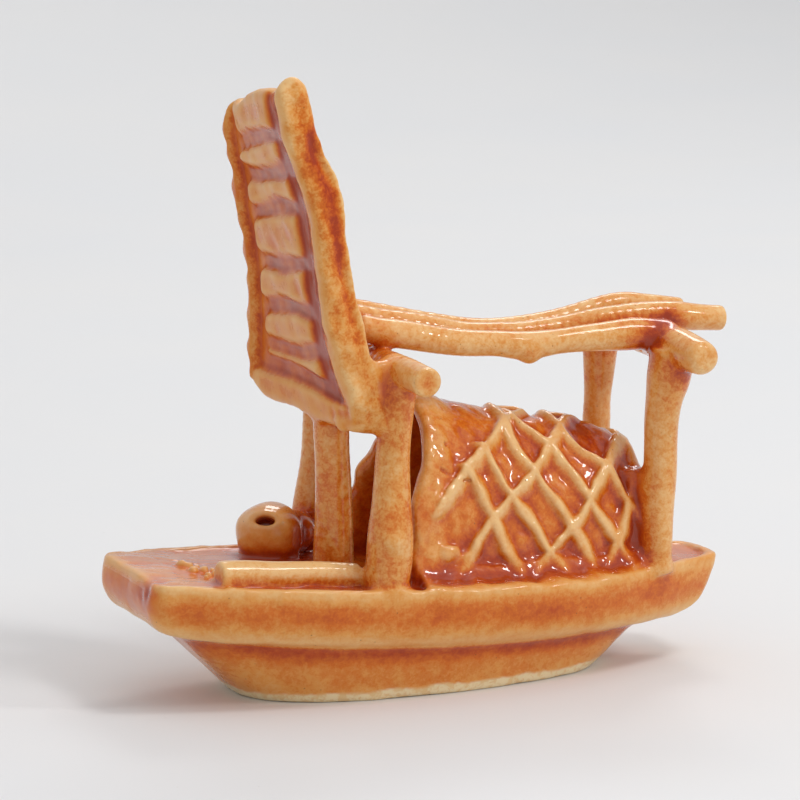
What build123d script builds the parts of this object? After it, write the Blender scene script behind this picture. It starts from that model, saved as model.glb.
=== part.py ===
from build123d import *
import os
from math import cos, radians, sin

# Glazed ceramic miniature of a boat: two-tier hull, deck, rack of poles on posts, slatted sail and
# lattice canopy.  X runs from bow (-) to stern (+), Y from the near side (-) to the far side (+),
# Z up.  The origin is under the middle of the model, on the surface that it stands on.

# ---- Driving dimensions (mm) ----
half_length = 33.0
foot_z = 0.0
hull_top = 16.0          # above every point of the gunwale
hull_side_foot = 3.0     # below every point of the ledge
clear = 20.0             # half width of a cut that goes right through the model, side to side
past_end = 34.0          # X reach of a cut that goes past both ends
rim_width = 1.5          # gunwale left standing round the deck
deck_recess = 0.3        # deck top below the gunwale
deck_thickness = 1.2
lower_tier_top = 8.5     # loft height of the lower tier before the ledge trims it

beam_z = 34.2            # height of both crossbeams' axes
bow_beam_radius = 1.45
stern_beam_radius = 1.6
beam_reach = 16.3        # crossbeam end, either side of the middle

sail_lean = 13.2         # degrees from upright, top towards the bow
sail_yaw = 3.4           # degrees, near edge towards the stern
backing_thickness = 2.0
backing_set_back = 0.6   # backing's rear face in front of the borders' rear faces
batten_rise = 1.0
batten_gap = 0.8

canopy_bow_x = -3.6
canopy_stern_x = 22.0
sheet_thickness = 1.5
strip_rise = 0.6
strip_width = 1.0
strip_length = 60.0      # longer than the canopy is high and long
strip_angle = 55.0       # degrees above the horizontal
end_band = 1.8           # width of the plain band round each end of the canopy

jar_x, jar_y = -14.8, 7.5
jar_radius, jar_height = 3.3, 5.4
jar_belly = 2.5          # height of the jar's widest point
jar_mouth_width, jar_mouth_height = 2.4, 1.5
jar_mouth_way = (0, -0.72, 0.69)

pool_rise = 0.1          # glaze stands this far above the gunwale

# Half beam at each station along X: gunwale, then the lower tier's top and the foot.
gunwale_plan = [(-half_length, 8.9), (-27, 10.6), (-22, 11.8), (-17, 12.6), (-11, 13.05),
                (-4, 13.05), (3, 12.6), (10, 11.5), (17, 9.7), (24, 7.0), (31.6, 3.2)]
flare = 1.1              # each side wall's foot stands this far inside the gunwale
transom_corner = 1.6     # plan radius of the bow transom's two corners
lower_tier_plan = [(-30.0, 6.4), (-25, 8.6), (-18, 10.5), (-11, 11.3), (-4, 11.4),
                   (4, 10.9), (12, 9.5), (20, 7.0), (27.6, 3.6)]
foot_plan = [(-21.5, 4.0), (-17, 6.9), (-12, 8.6), (-4, 9.1), (3, 8.6), (12, 6.7), (18.2, 3.6)]

os.makedirs("parts", exist_ok=True)


def sheer(x):
    """Height of the gunwale at station x: high at the bow, falling to the stern."""
    return 11.55 - 0.0545 * x + 0.0005 * x * x


def ledge(x):
    """Height of the step between the two tiers at station x."""
    return 5.45 - 0.052 * x + 0.00085 * x * x


def deck_height(x):
    return sheer(x) - deck_recess


def finish(piece, name):
    piece.part.label = name
    export_step(piece.part, f"parts/{name}.step")


def plan_lines(plan, inset=0.0):
    """Closed symmetric plan outline, drawn in the active BuildLine."""
    far = [(x, b - inset) for x, b in plan]
    near = [(x, -y) for x, y in reversed(far)]
    Spline(*far)
    Line(far[-1], near[0])
    Spline(*near)
    Line(near[-1], far[0])


def profile_lines(low, high, x_bow, x_stern, count=9):
    """Closed side profile between two heights given as functions of x."""
    stations = [x_bow + (x_stern - x_bow) * i / (count - 1) for i in range(count)]
    bottom = [(x, low(x)) for x in stations]
    top = [(x, high(x)) for x in reversed(stations)]
    Spline(*bottom)
    Line(bottom[-1], top[0])
    Spline(*top)
    Line(top[-1], bottom[0])


# ---- Hull ----

# Deck space: what the gunwale rim stands round, open upwards.
deck_plan = [(-28.6, 8.75)] + [(x, b - rim_width) for x, b in gunwale_plan[2:-1]] + [(29.4, 2.6)]

with BuildPart() as deck_space:
    with BuildSketch(Plane.XY):
        with BuildLine():
            plan_lines(deck_plan)
        make_face()
    extrude(amount=hull_top)
    with BuildSketch(Plane.XZ):
        with BuildLine():
            profile_lines(lambda x: deck_height(x) - deck_thickness, lambda x: hull_top + 1.0,
                          -past_end, past_end)
        make_face()
    extrude(amount=clear, both=True, mode=Mode.INTERSECT)

with BuildPart() as upper_hull:
    with BuildSketch(Plane.XY.offset(hull_side_foot)):
        with BuildLine():
            plan_lines(gunwale_plan, flare)
        make_face()
        fillet(vertices().group_by(Axis.X)[0], radius=transom_corner)
    with BuildSketch(Plane.XY.offset(hull_top)):
        with BuildLine():
            plan_lines(gunwale_plan)
        make_face()
        fillet(vertices().group_by(Axis.X)[0], radius=transom_corner)
    loft(ruled=True)
    # Side profile: raked, rounded bow transom; sheer along the top; ledge below; rounded stern.
    with BuildSketch(Plane.XZ):
        with BuildLine():
            sheer_line = Spline(*[(x, sheer(x)) for x in (-32.4, -24, -16, -8, 0, 8, 16, 24, 31.3)])
            stern_round = Spline(sheer_line @ 1, (30.6, 8.2), (29.2, 6.3), (26.4, ledge(26.4)))
            ledge_line = Spline(*[(x, ledge(x)) for x in (26.4, 18, 10, 2, -6, -14, -22, -30.4)])
            ThreePointArc(ledge_line @ 1, (-half_length, 11.2), sheer_line @ 0)
        make_face()
    extrude(amount=clear, both=True, mode=Mode.INTERSECT)
    add(deck_space.part, mode=Mode.SUBTRACT)
finish(upper_hull, "upper_hull")

with BuildPart() as deck_slab:
    add(deck_space.part)
    with BuildSketch(Plane.XZ):
        with BuildLine():
            profile_lines(lambda x: hull_side_foot, deck_height, -past_end, past_end)
        make_face()
    extrude(amount=clear, both=True, mode=Mode.INTERSECT)
finish(deck_slab, "deck_slab")

with BuildPart() as lower_hull:
    with BuildSketch(Plane.XY.offset(foot_z)):
        with BuildLine():
            plan_lines(foot_plan)
        make_face()
    with BuildSketch(Plane.XY.offset(lower_tier_top)):
        with BuildLine():
            plan_lines(lower_tier_plan)
        make_face()
    loft(ruled=True)
    add(upper_hull.part, mode=Mode.SUBTRACT)
    with BuildSketch(Plane.XZ):
        with BuildLine():
            profile_lines(lambda x: foot_z - 1.0, ledge, -past_end, past_end)
        make_face()
    extrude(amount=clear, both=True, mode=Mode.INTERSECT)
finish(lower_hull, "lower_hull")


# ---- Rack: crossbeams, posts and the poles lying on them ----

def beam_plane(near_end, far_end):
    """Plane at a crossbeam's near end, facing along the beam."""
    return Plane(near_end, z_dir=(far_end - near_end).normalized())


bow_beam_near = Vector(-6.7, -beam_reach, beam_z - 0.3)
bow_beam_far = Vector(-7.9, beam_reach, beam_z + 0.2)
stern_beam_near = Vector(25.3, -12.9, beam_z)
stern_beam_far = Vector(22.7, 11.6, beam_z + 0.1)

with BuildPart() as bow_crossbeam:
    with BuildSketch(beam_plane(bow_beam_near, bow_beam_far)):
        Circle(bow_beam_radius)
    extrude(amount=(bow_beam_far - bow_beam_near).length)
    fillet(edges().filter_by(GeomType.CIRCLE), radius=0.3)
finish(bow_crossbeam, "bow_crossbeam")

with BuildPart() as stern_crossbeam:
    with BuildSketch(beam_plane(stern_beam_near, stern_beam_far)):
        Circle(stern_beam_radius)
    extrude(amount=(stern_beam_far - stern_beam_near).length)
    fillet(edges().filter_by(GeomType.CIRCLE), radius=0.6)
finish(stern_crossbeam, "stern_crossbeam")

# Each post: sections (x, y, z, radius) from its foot on the deck or gunwale to its head.
post_sections = {
    "near_bow_post": [(-9.0, -11.3, 10.4, 2.25), (-8.8, -11.1, 17.0, 2.25), (-8.4, -10.7, 22.0, 1.85),
                      (-7.9, -10.3, 27.0, 1.7), (-7.3, -9.8, 34.0, 1.65)],
    "far_bow_post": [(-9.4, 11.0, 10.4, 2.2), (-8.9, 10.9, 16.0, 1.8), (-8.3, 10.7, 22.0, 1.6),
                     (-7.7, 10.4, 34.0, 1.6)],
    "mast_post": [(-11.1, -1.5, 10.4, 2.05), (-11.1, -1.5, 17.0, 1.95), (-11.1, -1.5, 29.6, 1.65)],
    "near_stern_post": [(22.8, -6.7, 9.6, 1.0), (23.0, -6.8, 15.0, 1.3), (23.0, -6.8, 21.0, 1.5),
                        (23.2, -7.0, 29.0, 1.6), (23.7, -7.3, 34.0, 2.1)],
    "far_stern_post": [(22.1, 7.0, 9.6, 1.5), (22.2, 7.2, 22.0, 1.45), (22.6, 7.5, 29.0, 1.6),
                       (23.0, 7.8, 34.0, 1.9)],
}

posts = []
for name, sections in post_sections.items():
    with BuildPart() as post:
        for x, y, z, radius in sections:
            with BuildSketch(Plane((x, y, z))):
                Circle(radius)
        loft()
        for neighbour in (upper_hull, deck_slab, bow_crossbeam, stern_crossbeam):
            add(neighbour.part, mode=Mode.SUBTRACT)
        # The head above the crossbeam's axis is cut away with the beam; keep the post below it.
        if len(post.solids()) > 1:
            upright = post.solids().sort_by(Axis.Z)[0]
            add(upright, mode=Mode.REPLACE)
    finish(post, name)
    posts.append(post)

# Each rail: sections (x, y, z, radius) from the bow to the stern; it sags between the beams.
rail_sections = {
    "near_rail": [(-8.9, -4.3, 37.8, 1.25), (-4.0, -4.5, 36.7, 1.3), (1.0, -4.6, 35.7, 1.25),
                  (9.0, -4.6, 35.0, 1.2), (17.0, -4.7, 35.1, 1.25), (22.4, -5.0, 35.2, 1.5)],
    "middle_rail": [(-8.9, -0.8, 38.4, 1.2), (-1.2, -0.8, 36.9, 1.2), (7.8, -0.8, 35.5, 1.15),
                    (13.8, -1.0, 35.5, 1.15), (19.4, -1.6, 36.3, 1.2), (25.0, -2.2, 37.0, 1.3),
                    (half_length, -2.4, 36.2, 1.35)],
    "far_rail": [(-8.6, 3.4, 38.7, 1.2), (1.7, 3.5, 36.2, 1.2), (8.0, 3.5, 35.2, 1.15),
                 (15.2, 3.5, 35.6, 1.15), (22.3, 3.4, 37.0, 1.2), (30.1, 3.0, 36.1, 1.2)],
}

for name, sections in rail_sections.items():
    with BuildPart() as rail:
        for x, y, z, radius in sections:
            with BuildSketch(Plane((x, y, z), x_dir=(0, 1, 0), z_dir=(1, 0, 0))):
                Circle(radius)
        loft()
        for neighbour in (bow_crossbeam, stern_crossbeam, *posts):
            add(neighbour.part, mode=Mode.SUBTRACT)
        if len(rail.solids()) > 1:
            longest = rail.solids().sort_by(SortBy.VOLUME)[-1]
            add(longest, mode=Mode.REPLACE)
    finish(rail, name)


# ---- Sail ----
# Drawn in its own plane: local x towards the near side, local y up the sail, local z to the bow.

lean, yaw = radians(sail_lean), radians(sail_yaw)
sail_origin = Vector(-9.3, -1.0, 28.0)
sail_plane = Plane(
    sail_origin,
    x_dir=(sin(yaw), -cos(yaw), 0),
    z_dir=(-cos(lean) * cos(yaw), -cos(lean) * sin(yaw), -sin(lean)),
)
sail_front = Axis(sail_origin, sail_plane.z_dir)

near_edge, near_groove = 10.6, 7.6        # local x of the near border's two edges
far_edge, far_groove = -9.8, -8.2         # local x of the far border's two edges
top_near, top_far = 36.2, 33.2            # local y of the top edge at its two ends
field_bottom = 3.0
field_top_near, field_top_far = 34.0, 31.3
border_thickness = 3.6
batten_heights = [3.6, 4.1, 4.5, 4.8, 3.7, 3.7, 3.6]     # from the bottom

# Each flat piece: its corners, how far its rear face stands forward, and its thickness.
sail_blocks = {
    "sail_backing": (
        [(far_groove, field_bottom), (near_groove, field_bottom),
         (near_groove, field_top_near), (far_groove, field_top_far)],
        backing_set_back, backing_thickness),
    "sail_near_border": (
        [(near_groove, 0), (near_edge + 0.8, -0.3), (near_edge, 20),
         (near_edge, top_near + 1.6), (near_groove, top_near)],
        0, border_thickness),
    "sail_far_border": (
        [(far_edge + 0.8, 2.0), (far_groove, 1.2), (far_groove, top_far), (far_edge, top_far - 0.4)],
        0.4, border_thickness - 1.0),
    "sail_bottom_border": (
        [(far_groove, 1.2), (0, 0), (near_groove, 0),
         (near_groove, field_bottom), (far_groove, field_bottom)],
        0.2, border_thickness - 0.4),
    "sail_top_border": (
        [(far_groove, field_top_far), (near_groove, field_top_near),
         (near_groove, top_near), (far_groove, top_far)],
        0.2, border_thickness - 0.6),
}

sail_pieces = []
for name, (corners, set_forward, thickness) in sail_blocks.items():
    with BuildPart() as block:
        with BuildSketch(sail_plane.offset(set_forward)):
            with BuildLine():
                Polyline(*corners, close=True)
            make_face()
        extrude(amount=thickness)
        for neighbour in posts:
            add(neighbour.part, mode=Mode.SUBTRACT)
    finish(block, name)
    sail_pieces.append(block)

# Battens lie across the field, which is taller at the near edge, so they fan out.
field_near, field_far = field_top_near - field_bottom, field_top_far - field_bottom
half_gap = batten_gap / 2
start = 0.0
for number, height in enumerate(batten_heights, start=1):
    low, high = start / sum(batten_heights), (start + height) / sum(batten_heights)
    with BuildPart() as batten:
        with BuildSketch(sail_plane.offset(backing_set_back + backing_thickness)):
            with BuildLine():
                Polyline(
                    (far_groove + half_gap, field_bottom + field_far * low + half_gap),
                    (near_groove - half_gap, field_bottom + field_near * low + half_gap),
                    (near_groove - half_gap, field_bottom + field_near * high - half_gap),
                    (far_groove + half_gap, field_bottom + field_far * high - half_gap),
                    close=True,
                )
            make_face()
        extrude(amount=batten_rise)
        fillet(faces().sort_by(sail_front)[-1].edges(), radius=batten_rise * 0.6)
    finish(batten, f"sail_batten_{number}")
    start += height


# ---- Canopy ----
# A bent sheet: half-elliptical sections, wide and tall at the bow end, lower at the stern end.

canopy_ends = {canopy_bow_x: (9.8, 30.3), canopy_stern_x: (6.3, 23.3)}    # half width, ridge height
canopy_foot_z = 9.5      # below the deck, which trims the sheet's feet


def vault_sections(growth):
    """End sections of the space under the canopy's outer face, moved outwards by growth."""
    sections = []
    for x, (half_width, ridge) in canopy_ends.items():
        rise = ridge - canopy_foot_z + growth
        with BuildSketch(Plane((x, 0, canopy_foot_z), x_dir=(0, 1, 0), z_dir=(1, 0, 0))) as section:
            with BuildLine():
                arch = EllipticalCenterArc((0, 0), half_width + growth, rise, start_angle=0, arc_size=180)
                Line(arch @ 1, arch @ 0)
            make_face()
        sections.append(section.sketch)
    return sections


with BuildPart() as vault_inside:
    loft(vault_sections(-sheet_thickness), ruled=True)
with BuildPart() as vault_outside:
    loft(vault_sections(0), ruled=True)
with BuildPart() as vault_grown:
    loft(vault_sections(strip_rise), ruled=True)

with BuildPart() as canopy_sheet:
    add(vault_outside.part)
    add(vault_inside.part, mode=Mode.SUBTRACT)
    for neighbour in (upper_hull, deck_slab, *posts):
        add(neighbour.part, mode=Mode.SUBTRACT)
finish(canopy_sheet, "canopy_sheet")

# Each family of strips: its slope, where its first strip crosses the deck, its spacing along X
# and how many there are.  The strips that climb towards the stern lie further apart.
strip_families = [
    (strip_angle, -14.5, 7.3, 6),
    (-strip_angle, 3.5, 4.15, 7),
]

# The layer outside the sheet is cut to the pattern of the strips and of the two end bands.
with BuildPart() as strip_pattern:
    with BuildSketch(Plane.XZ):
        for slope, first_x, pitch, count in strip_families:
            for i in range(count):
                with Locations(Location((first_x + pitch * i, deck_height(0)), slope)):
                    Rectangle(2 * strip_length, strip_width)
        for band_x in (canopy_bow_x + end_band / 2, canopy_stern_x - end_band / 2):
            with Locations((band_x, canopy_foot_z)):
                Rectangle(end_band, strip_length)
    extrude(amount=clear, both=True)

with BuildPart() as canopy_lattice:
    add(vault_grown.part)
    add(vault_outside.part, mode=Mode.SUBTRACT)
    add(strip_pattern.part, mode=Mode.INTERSECT)
    for neighbour in (upper_hull, deck_slab, *posts):
        add(neighbour.part, mode=Mode.SUBTRACT)
finish(canopy_lattice, "canopy_lattice")


# ---- Deck load ----

jar_foot = deck_height(jar_x + jar_radius) - 0.1
jar_middle = Vector(jar_x, jar_y, jar_foot + jar_belly)

with BuildPart() as jar:
    with Locations(jar_middle):
        Sphere(jar_radius)
    # Flat foot and flat top.
    for height, kept in ((jar_foot, Keep.TOP), (jar_foot + jar_height, Keep.BOTTOM)):
        split(bisect_by=Plane.XY.offset(height), keep=kept)
    # The mouth is an oval hole tipped towards the near side.
    with BuildSketch(Plane(jar_middle, x_dir=(1, 0, 0), z_dir=jar_mouth_way)):
        SlotOverall(jar_mouth_width, jar_mouth_height)
    extrude(amount=2 * jar_radius, mode=Mode.SUBTRACT)
    for neighbour in (upper_hull, deck_slab, *posts):
        add(neighbour.part, mode=Mode.SUBTRACT)
finish(jar, "jar")

# Sections (x, y, z, radius) of the log from its thick bow end.
log_sections = [(-26.0, -8.0, 14.25, 1.5), (-20.0, -8.2, 13.7, 1.4), (-11.9, -8.6, 12.8, 1.15)]

with BuildPart() as deck_log:
    for x, y, z, radius in log_sections:
        with BuildSketch(Plane((x, y, z), x_dir=(0, 1, 0), z_dir=(1, 0, 0))):
            Circle(radius)
    loft()
    for neighbour in (upper_hull, deck_slab, *posts):
        add(neighbour.part, mode=Mode.SUBTRACT)
finish(deck_log, "deck_log")


# ---- Glaze that filled the gaps between pieces ----

# Pool along the canopy's near foot, level with the gunwale rim.
with BuildPart() as glaze_pool_canopy:
    add(deck_space.part)
    with BuildSketch(Plane.XZ):
        with BuildLine():
            profile_lines(deck_height, lambda x: sheer(x) + pool_rise, canopy_bow_x, canopy_stern_x)
        make_face()
    extrude(amount=clear, mode=Mode.INTERSECT)
    for neighbour in (vault_grown, upper_hull, deck_slab, *posts):
        add(neighbour.part, mode=Mode.SUBTRACT)
finish(glaze_pool_canopy, "glaze_pool_canopy")

# Pool between the log and the gunwale.
with BuildPart() as glaze_pool_log:
    add(deck_space.part)
    with BuildSketch(Plane.XZ.offset(-log_sections[0][1])):
        with BuildLine():
            profile_lines(deck_height, lambda x: sheer(x) + pool_rise, -25.5, -12.0)
        make_face()
    extrude(amount=clear, mode=Mode.INTERSECT)
    for neighbour in (deck_log, upper_hull, deck_slab, *posts):
        add(neighbour.part, mode=Mode.SUBTRACT)
finish(glaze_pool_log, "glaze_pool_log")

# Each web: its plan corners, its foot and its head.
webs = {
    "glaze_web_stern": ([(19.8, -4.6), (22.0, -2.6), (22.6, -6.4), (21.6, -7.3)], 9.8, 20.5),
    "glaze_web_sail": ([(-10.0, -11.0), (-8.6, -11.3), (-7.9, -8.4), (-10.2, -8.4)], 28.5, 34.3),
}
for name, (corners, foot, head) in webs.items():
    with BuildPart() as web:
        with BuildSketch(Plane.XY.offset(foot)):
            with BuildLine():
                Polyline(*corners, close=True)
            make_face()
        extrude(amount=head - foot)
        for neighbour in (vault_grown, upper_hull, deck_slab, bow_crossbeam, *posts, *sail_pieces):
            add(neighbour.part, mode=Mode.SUBTRACT)
    finish(web, name)
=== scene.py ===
import functools
import math

import bpy
import mathutils
import numpy as np
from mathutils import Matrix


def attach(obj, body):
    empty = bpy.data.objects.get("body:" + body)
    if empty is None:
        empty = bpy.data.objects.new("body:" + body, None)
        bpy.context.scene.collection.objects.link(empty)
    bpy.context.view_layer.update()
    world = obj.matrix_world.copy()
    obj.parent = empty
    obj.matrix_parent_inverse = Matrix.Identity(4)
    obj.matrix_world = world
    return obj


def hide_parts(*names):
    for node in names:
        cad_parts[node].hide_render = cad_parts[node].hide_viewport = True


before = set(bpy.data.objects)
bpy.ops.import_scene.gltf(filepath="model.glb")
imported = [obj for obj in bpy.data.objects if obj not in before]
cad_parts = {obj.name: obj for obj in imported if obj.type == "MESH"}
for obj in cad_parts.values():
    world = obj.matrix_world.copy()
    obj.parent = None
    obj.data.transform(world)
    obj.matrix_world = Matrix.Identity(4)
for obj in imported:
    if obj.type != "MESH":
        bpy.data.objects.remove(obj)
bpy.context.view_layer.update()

import openvdb

# A hand-built glazed ceramic boat.  Every shape is a signed distance field in millimetres, in the
# frame's axes: X from bow to stern, Y from the near side to the far side, Z up.  The fields are
# melted together as the glaze melted over the joints, and the melted body is then divided back
# into the pieces that it was made of, each a closed mesh of its own.

MM = 0.001
FINENESS = 1.0
FAR_AWAY = np.float32(50.0)

MELT = 0.9  # mm, reach of the glaze fillet where two shapes meet
SEAM_OVERLAP = 0.45  # mm, how far each shape runs on under its neighbour
SPLIT_OVERLAP = 0.25  # mm, the same for the pieces that one shape is divided into
SEAM_SINK = 0.04  # mm, how deep it lies there


# ---- field arithmetic

def melt(a, b, k):
    """The two bodies together, melted over a reach of k."""
    h = np.maximum(k - np.abs(a - b), 0.0) / k
    return np.minimum(a, b) - h * h * (k / 4)


def meet(a, b, k):
    """What lies in both bodies, its edges rounded over k."""
    h = np.maximum(k - np.abs(a - b), 0.0) / k
    return np.maximum(a, b) + h * h * (k / 4)


def meet_all(fields, k):
    return functools.reduce(lambda a, b: meet(a, b, k), fields)


def largest(*values):
    return functools.reduce(np.maximum, values)


def ramp(value, low, high):
    """0 below low, 1 above high, smooth between."""
    t = np.clip((value - low) / (high - low), 0.0, 1.0)
    return t * t * (3 - 2 * t)


def fall(value, low, high):
    return 1 - ramp(value, low, high)


def bell(value, width):
    return np.exp(-(value / width) ** 2)


def along(x, y, z, origin, way):
    """How far each point lies beyond an origin in one direction."""
    return (x - origin[0]) * way[0] + (y - origin[1]) * way[1] + (z - origin[2]) * way[2]


def noise(x, y, z, size, seed, waves=5):
    """Smooth unevenness between about -1 and 1, with lumps about size mm across.

    It doesn't change along an axis that is given as 0.
    """
    rng = np.random.default_rng(seed)
    total = 0.0
    for _ in range(waves):
        direction = rng.normal(size=3)
        direction *= 2 * math.pi / (size * rng.uniform(1.3, 2.6)) / np.linalg.norm(direction)
        phase = rng.uniform(0, 2 * math.pi)
        wave = x * np.float32(direction[0]) + y * np.float32(direction[1]) + z * np.float32(direction[2])
        total = total + np.sin(wave + np.float32(phase))
    return total * np.float32(1.4 / waves)


def curve_through(points, steps=8):
    """Catmull-Rom curve through the points, of any dimension."""
    points = np.asarray(points, dtype=float)
    padded = np.vstack([2 * points[0] - points[1], points, 2 * points[-1] - points[-2]])
    out = []
    for i in range(1, len(padded) - 2):
        p0, p1, p2, p3 = padded[i - 1:i + 3]
        for t in np.arange(steps) / steps:
            out.append(0.5 * (2 * p1 + (p2 - p0) * t + (2 * p0 - 5 * p1 + 4 * p2 - p3) * t ** 2
                              + (3 * p1 - p0 - 3 * p2 + p3) * t ** 3))
    out.append(padded[-2])
    return np.array(out)


def table(points):
    """Function of one variable through (position, value) points, smoothed between them."""
    dense = curve_through(points)
    order = np.argsort(dense[:, 0])
    at, value = dense[order, 0], dense[order, 1]
    return lambda v: np.interp(v, at, value).astype(np.float32)


# ---- tubes: posts, beams, rails, log, cracks

SEGMENT_MELT = 0.15  # mm, over which the straight stretches of a tube melt together
KNOT_MELT = 0.8  # mm, the same for a knot on it


def stretch(a, b, radius_a, radius_b):
    """Melts the straight stretch of a tube from point a to point b into a field."""
    way = b - a

    def melted(out, part):
        x, y, z = part.axes
        t = np.clip(along(x, y, z, a, way) / float(way @ way), 0, 1).astype(np.float32)
        dx, dy, dz = x - a[0] - t * way[0], y - a[1] - t * way[1], z - a[2] - t * way[2]
        distance = np.sqrt(dx * dx + dy * dy + dz * dz) - (radius_a + (radius_b - radius_a) * t)
        return melt(out, distance.astype(np.float32), SEGMENT_MELT)

    return melted


def tube(sections, flat=True, rough=0.06, lump=3.2, seed=1, edge=0.5, steps=6, knots=()):
    """Clay coil through sections (x, y, z, radius), with knots (x, y, z, radius) on it.

    Its ends are cut flat unless flat is False, and edge is how round their edges are.
    """
    path = curve_through(sections, steps)
    spots, radii = path[:, :3], path[:, 3]
    reach = radii.max() + 3.0

    def field(grid):
        out = grid.full()
        for a, b, radius_a, radius_b in zip(spots, spots[1:], radii, radii[1:]):
            low, high = np.minimum(a, b) - reach, np.maximum(a, b) + reach
            grid.change(out, low, high, stretch(a, b, radius_a, radius_b))
        x, y, z = grid.axes
        for end, before in ((spots[0], spots[1]), (spots[-1], spots[-2])) if flat else ():
            outwards = (end - before) / np.linalg.norm(end - before)
            out = meet(out, along(x, y, z, end, outwards), edge)
        for kx, ky, kz, radius in knots:
            knot = np.sqrt((x - kx) ** 2 + (y - ky) ** 2 + (z - kz) ** 2) - radius
            out = melt(out, knot, KNOT_MELT)
        return out - rough * noise(x, y, z, lump, seed)

    low = (spots - radii[:, None]).min(axis=0) - 0.3
    high = (spots + radii[:, None]).max(axis=0) + 0.3
    return field, low, high


def cut_cracks(out, grid, cracks, radius, seed):
    """Cuts a ragged groove into a field along each path of points (x, y, z)."""
    for i, crack in enumerate(cracks):
        sections = [(*point, radius + 0.05 * (j % 2)) for j, point in enumerate(crack)]
        groove, low, high = tube(sections, False, 0.05, 0.8, seed + i, steps=3)
        grid.change(out, low - 0.5, high + 0.5, lambda old, part: meet(old, -groove(part), 0.12))


# ---- sampling grid

class Grid:
    """Regular sample points in mm, from the lines of points along the three axes."""

    def __init__(self, lines, voxel):
        self.lines, self.voxel = [line.astype(np.float32) for line in lines], voxel
        self.low = np.array([line[0] for line in lines], dtype=float)
        self.shape = tuple(len(line) for line in lines)
        x, y, z = self.lines
        self.axes = x[:, None, None], y[None, :, None], z[None, None, :]

    @classmethod
    def over(cls, low, high, voxel):
        """Grid over a box."""
        counts = [math.ceil((end - start) / voxel) + 1 for start, end in zip(low, high)]
        return cls([start + voxel * np.arange(count) for start, count in zip(low, counts)], voxel)

    def full(self):
        return np.full(self.shape, FAR_AWAY, dtype=np.float32)

    def window(self, low, high):
        """Index slices of the part of the grid inside a box, or None."""
        slices = []
        for i in range(3):
            a = int(np.searchsorted(self.lines[i], low[i]))
            b = int(np.searchsorted(self.lines[i], high[i], side="right"))
            if b <= a:
                return None
            slices.append(slice(a, b))
        return tuple(slices)

    def part(self, window):
        """The smaller grid in a window of this one."""
        return Grid([line[w] for line, w in zip(self.lines, window)], self.voxel)

    def change(self, out, low, high, changed):
        """Inside a box only, puts changed(values, grid) in the place of out's values."""
        window = self.window(low, high)
        if window:
            out[window] = changed(out[window], self.part(window))


def bend(field, voxel, sigma):
    """Mean curvature of the field's surfaces in 1/mm, seen at about sigma mm: hollows below 0."""
    half = max(1, int(round(sigma / voxel)))
    out = field.astype(np.float32)
    for axis in range(3):
        for _ in range(2):
            padded = np.pad(out, [(half + 1, half) if a == axis else (0, 0) for a in range(3)], "edge")
            sums = np.cumsum(padded, axis=axis, dtype=np.float64)
            count = out.shape[axis]
            upper = sums.take(range(2 * half + 1, 2 * half + 1 + count), axis)
            out = ((upper - sums.take(range(count), axis)) / (2 * half + 1)).astype(np.float32)
    variance = 2 * ((2 * half + 1) ** 2 - 1) / 12 * voxel ** 2
    return (out - field) * np.float32(2 / variance)


def sampled(values, grid, spots):
    """Trilinear values at spots given in mm."""
    at = (spots - grid.low) / grid.voxel
    base = np.clip(np.floor(at).astype(int), 0, np.array(grid.shape) - 2)
    t = np.clip(at - base, 0, 1)
    total = np.zeros(len(spots))
    for step in np.ndindex(2, 2, 2):
        weight = np.prod(np.where(step, t, 1 - t), axis=1)
        index = base + step
        total += weight * values[index[:, 0], index[:, 1], index[:, 2]]
    return total


# ---- hull

RIM_WIDTH, DECK_RECESS, DECK_THICK = 0.9, 0.3, 1.2
SPACE_BOW, SPACE_STERN = -33.5, 30.6  # X where the space between the gunwale rims ends
FLARE, SIDE_SWELL = 1.1, 1.6  # how far the upper side leans in downwards, and how full it is
FOOT_BOW, FOOT_STERN = -21.5, 18.2  # X of the two ends of the foot
TIER_HEIGHT = 8.5  # Z at which the lower tier reaches its ledge width
# Half width of the gunwale along X, X of the upper tier's ends by Z, and the lower tier's half
# widths at its foot and at its ledge, by share of its length.
gunwale_half = table([(-34, 8.6), (-33, 8.9), (-27, 10.6), (-22, 11.8), (-17, 12.6), (-11, 13.05),
                      (-4, 13.05), (3, 12.6), (10, 11.5), (17, 9.7), (24, 7), (31.6, 3.4), (33, 2.8)])
bow_profile = table([(5, -29.2), (7.6, -30.6), (8.8, -32), (11, -33), (13, -32.7), (15, -32.2)])
stern_profile = table([(3, 23), (4.7, 26.4), (5.6, 28.6), (6.6, 29.8), (8.4, 30.9), (10.4, 31.6),
                       (13, 32.2)])
foot_half = table([(0, 4), (0.11, 6.9), (0.24, 8.6), (0.44, 9.1), (0.62, 8.6), (0.84, 6.7), (1, 3.6)])
ledge_half = table([(0, 6.4), (0.09, 8.6), (0.21, 10.5), (0.33, 11.3), (0.45, 11.4), (0.59, 10.9),
                    (0.73, 9.5), (0.87, 7), (1, 3.6)])


def sheer(x):
    """Height of the gunwale, which sweeps up at the stern."""
    return 11.55 - 0.0545 * x + 0.0005 * x * x + 0.60 * ramp(x, 16.0, 31.0)


def ledge(x):
    """Height of the ledge between the two tiers."""
    return 5.45 - 0.052 * x + 0.00085 * x * x


def deck_height(x):
    """The deck plate lies flush at the bow and a little under the gunwale from there on."""
    return sheer(x) - DECK_RECESS * ramp(x, -27.5, -23.5)


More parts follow.
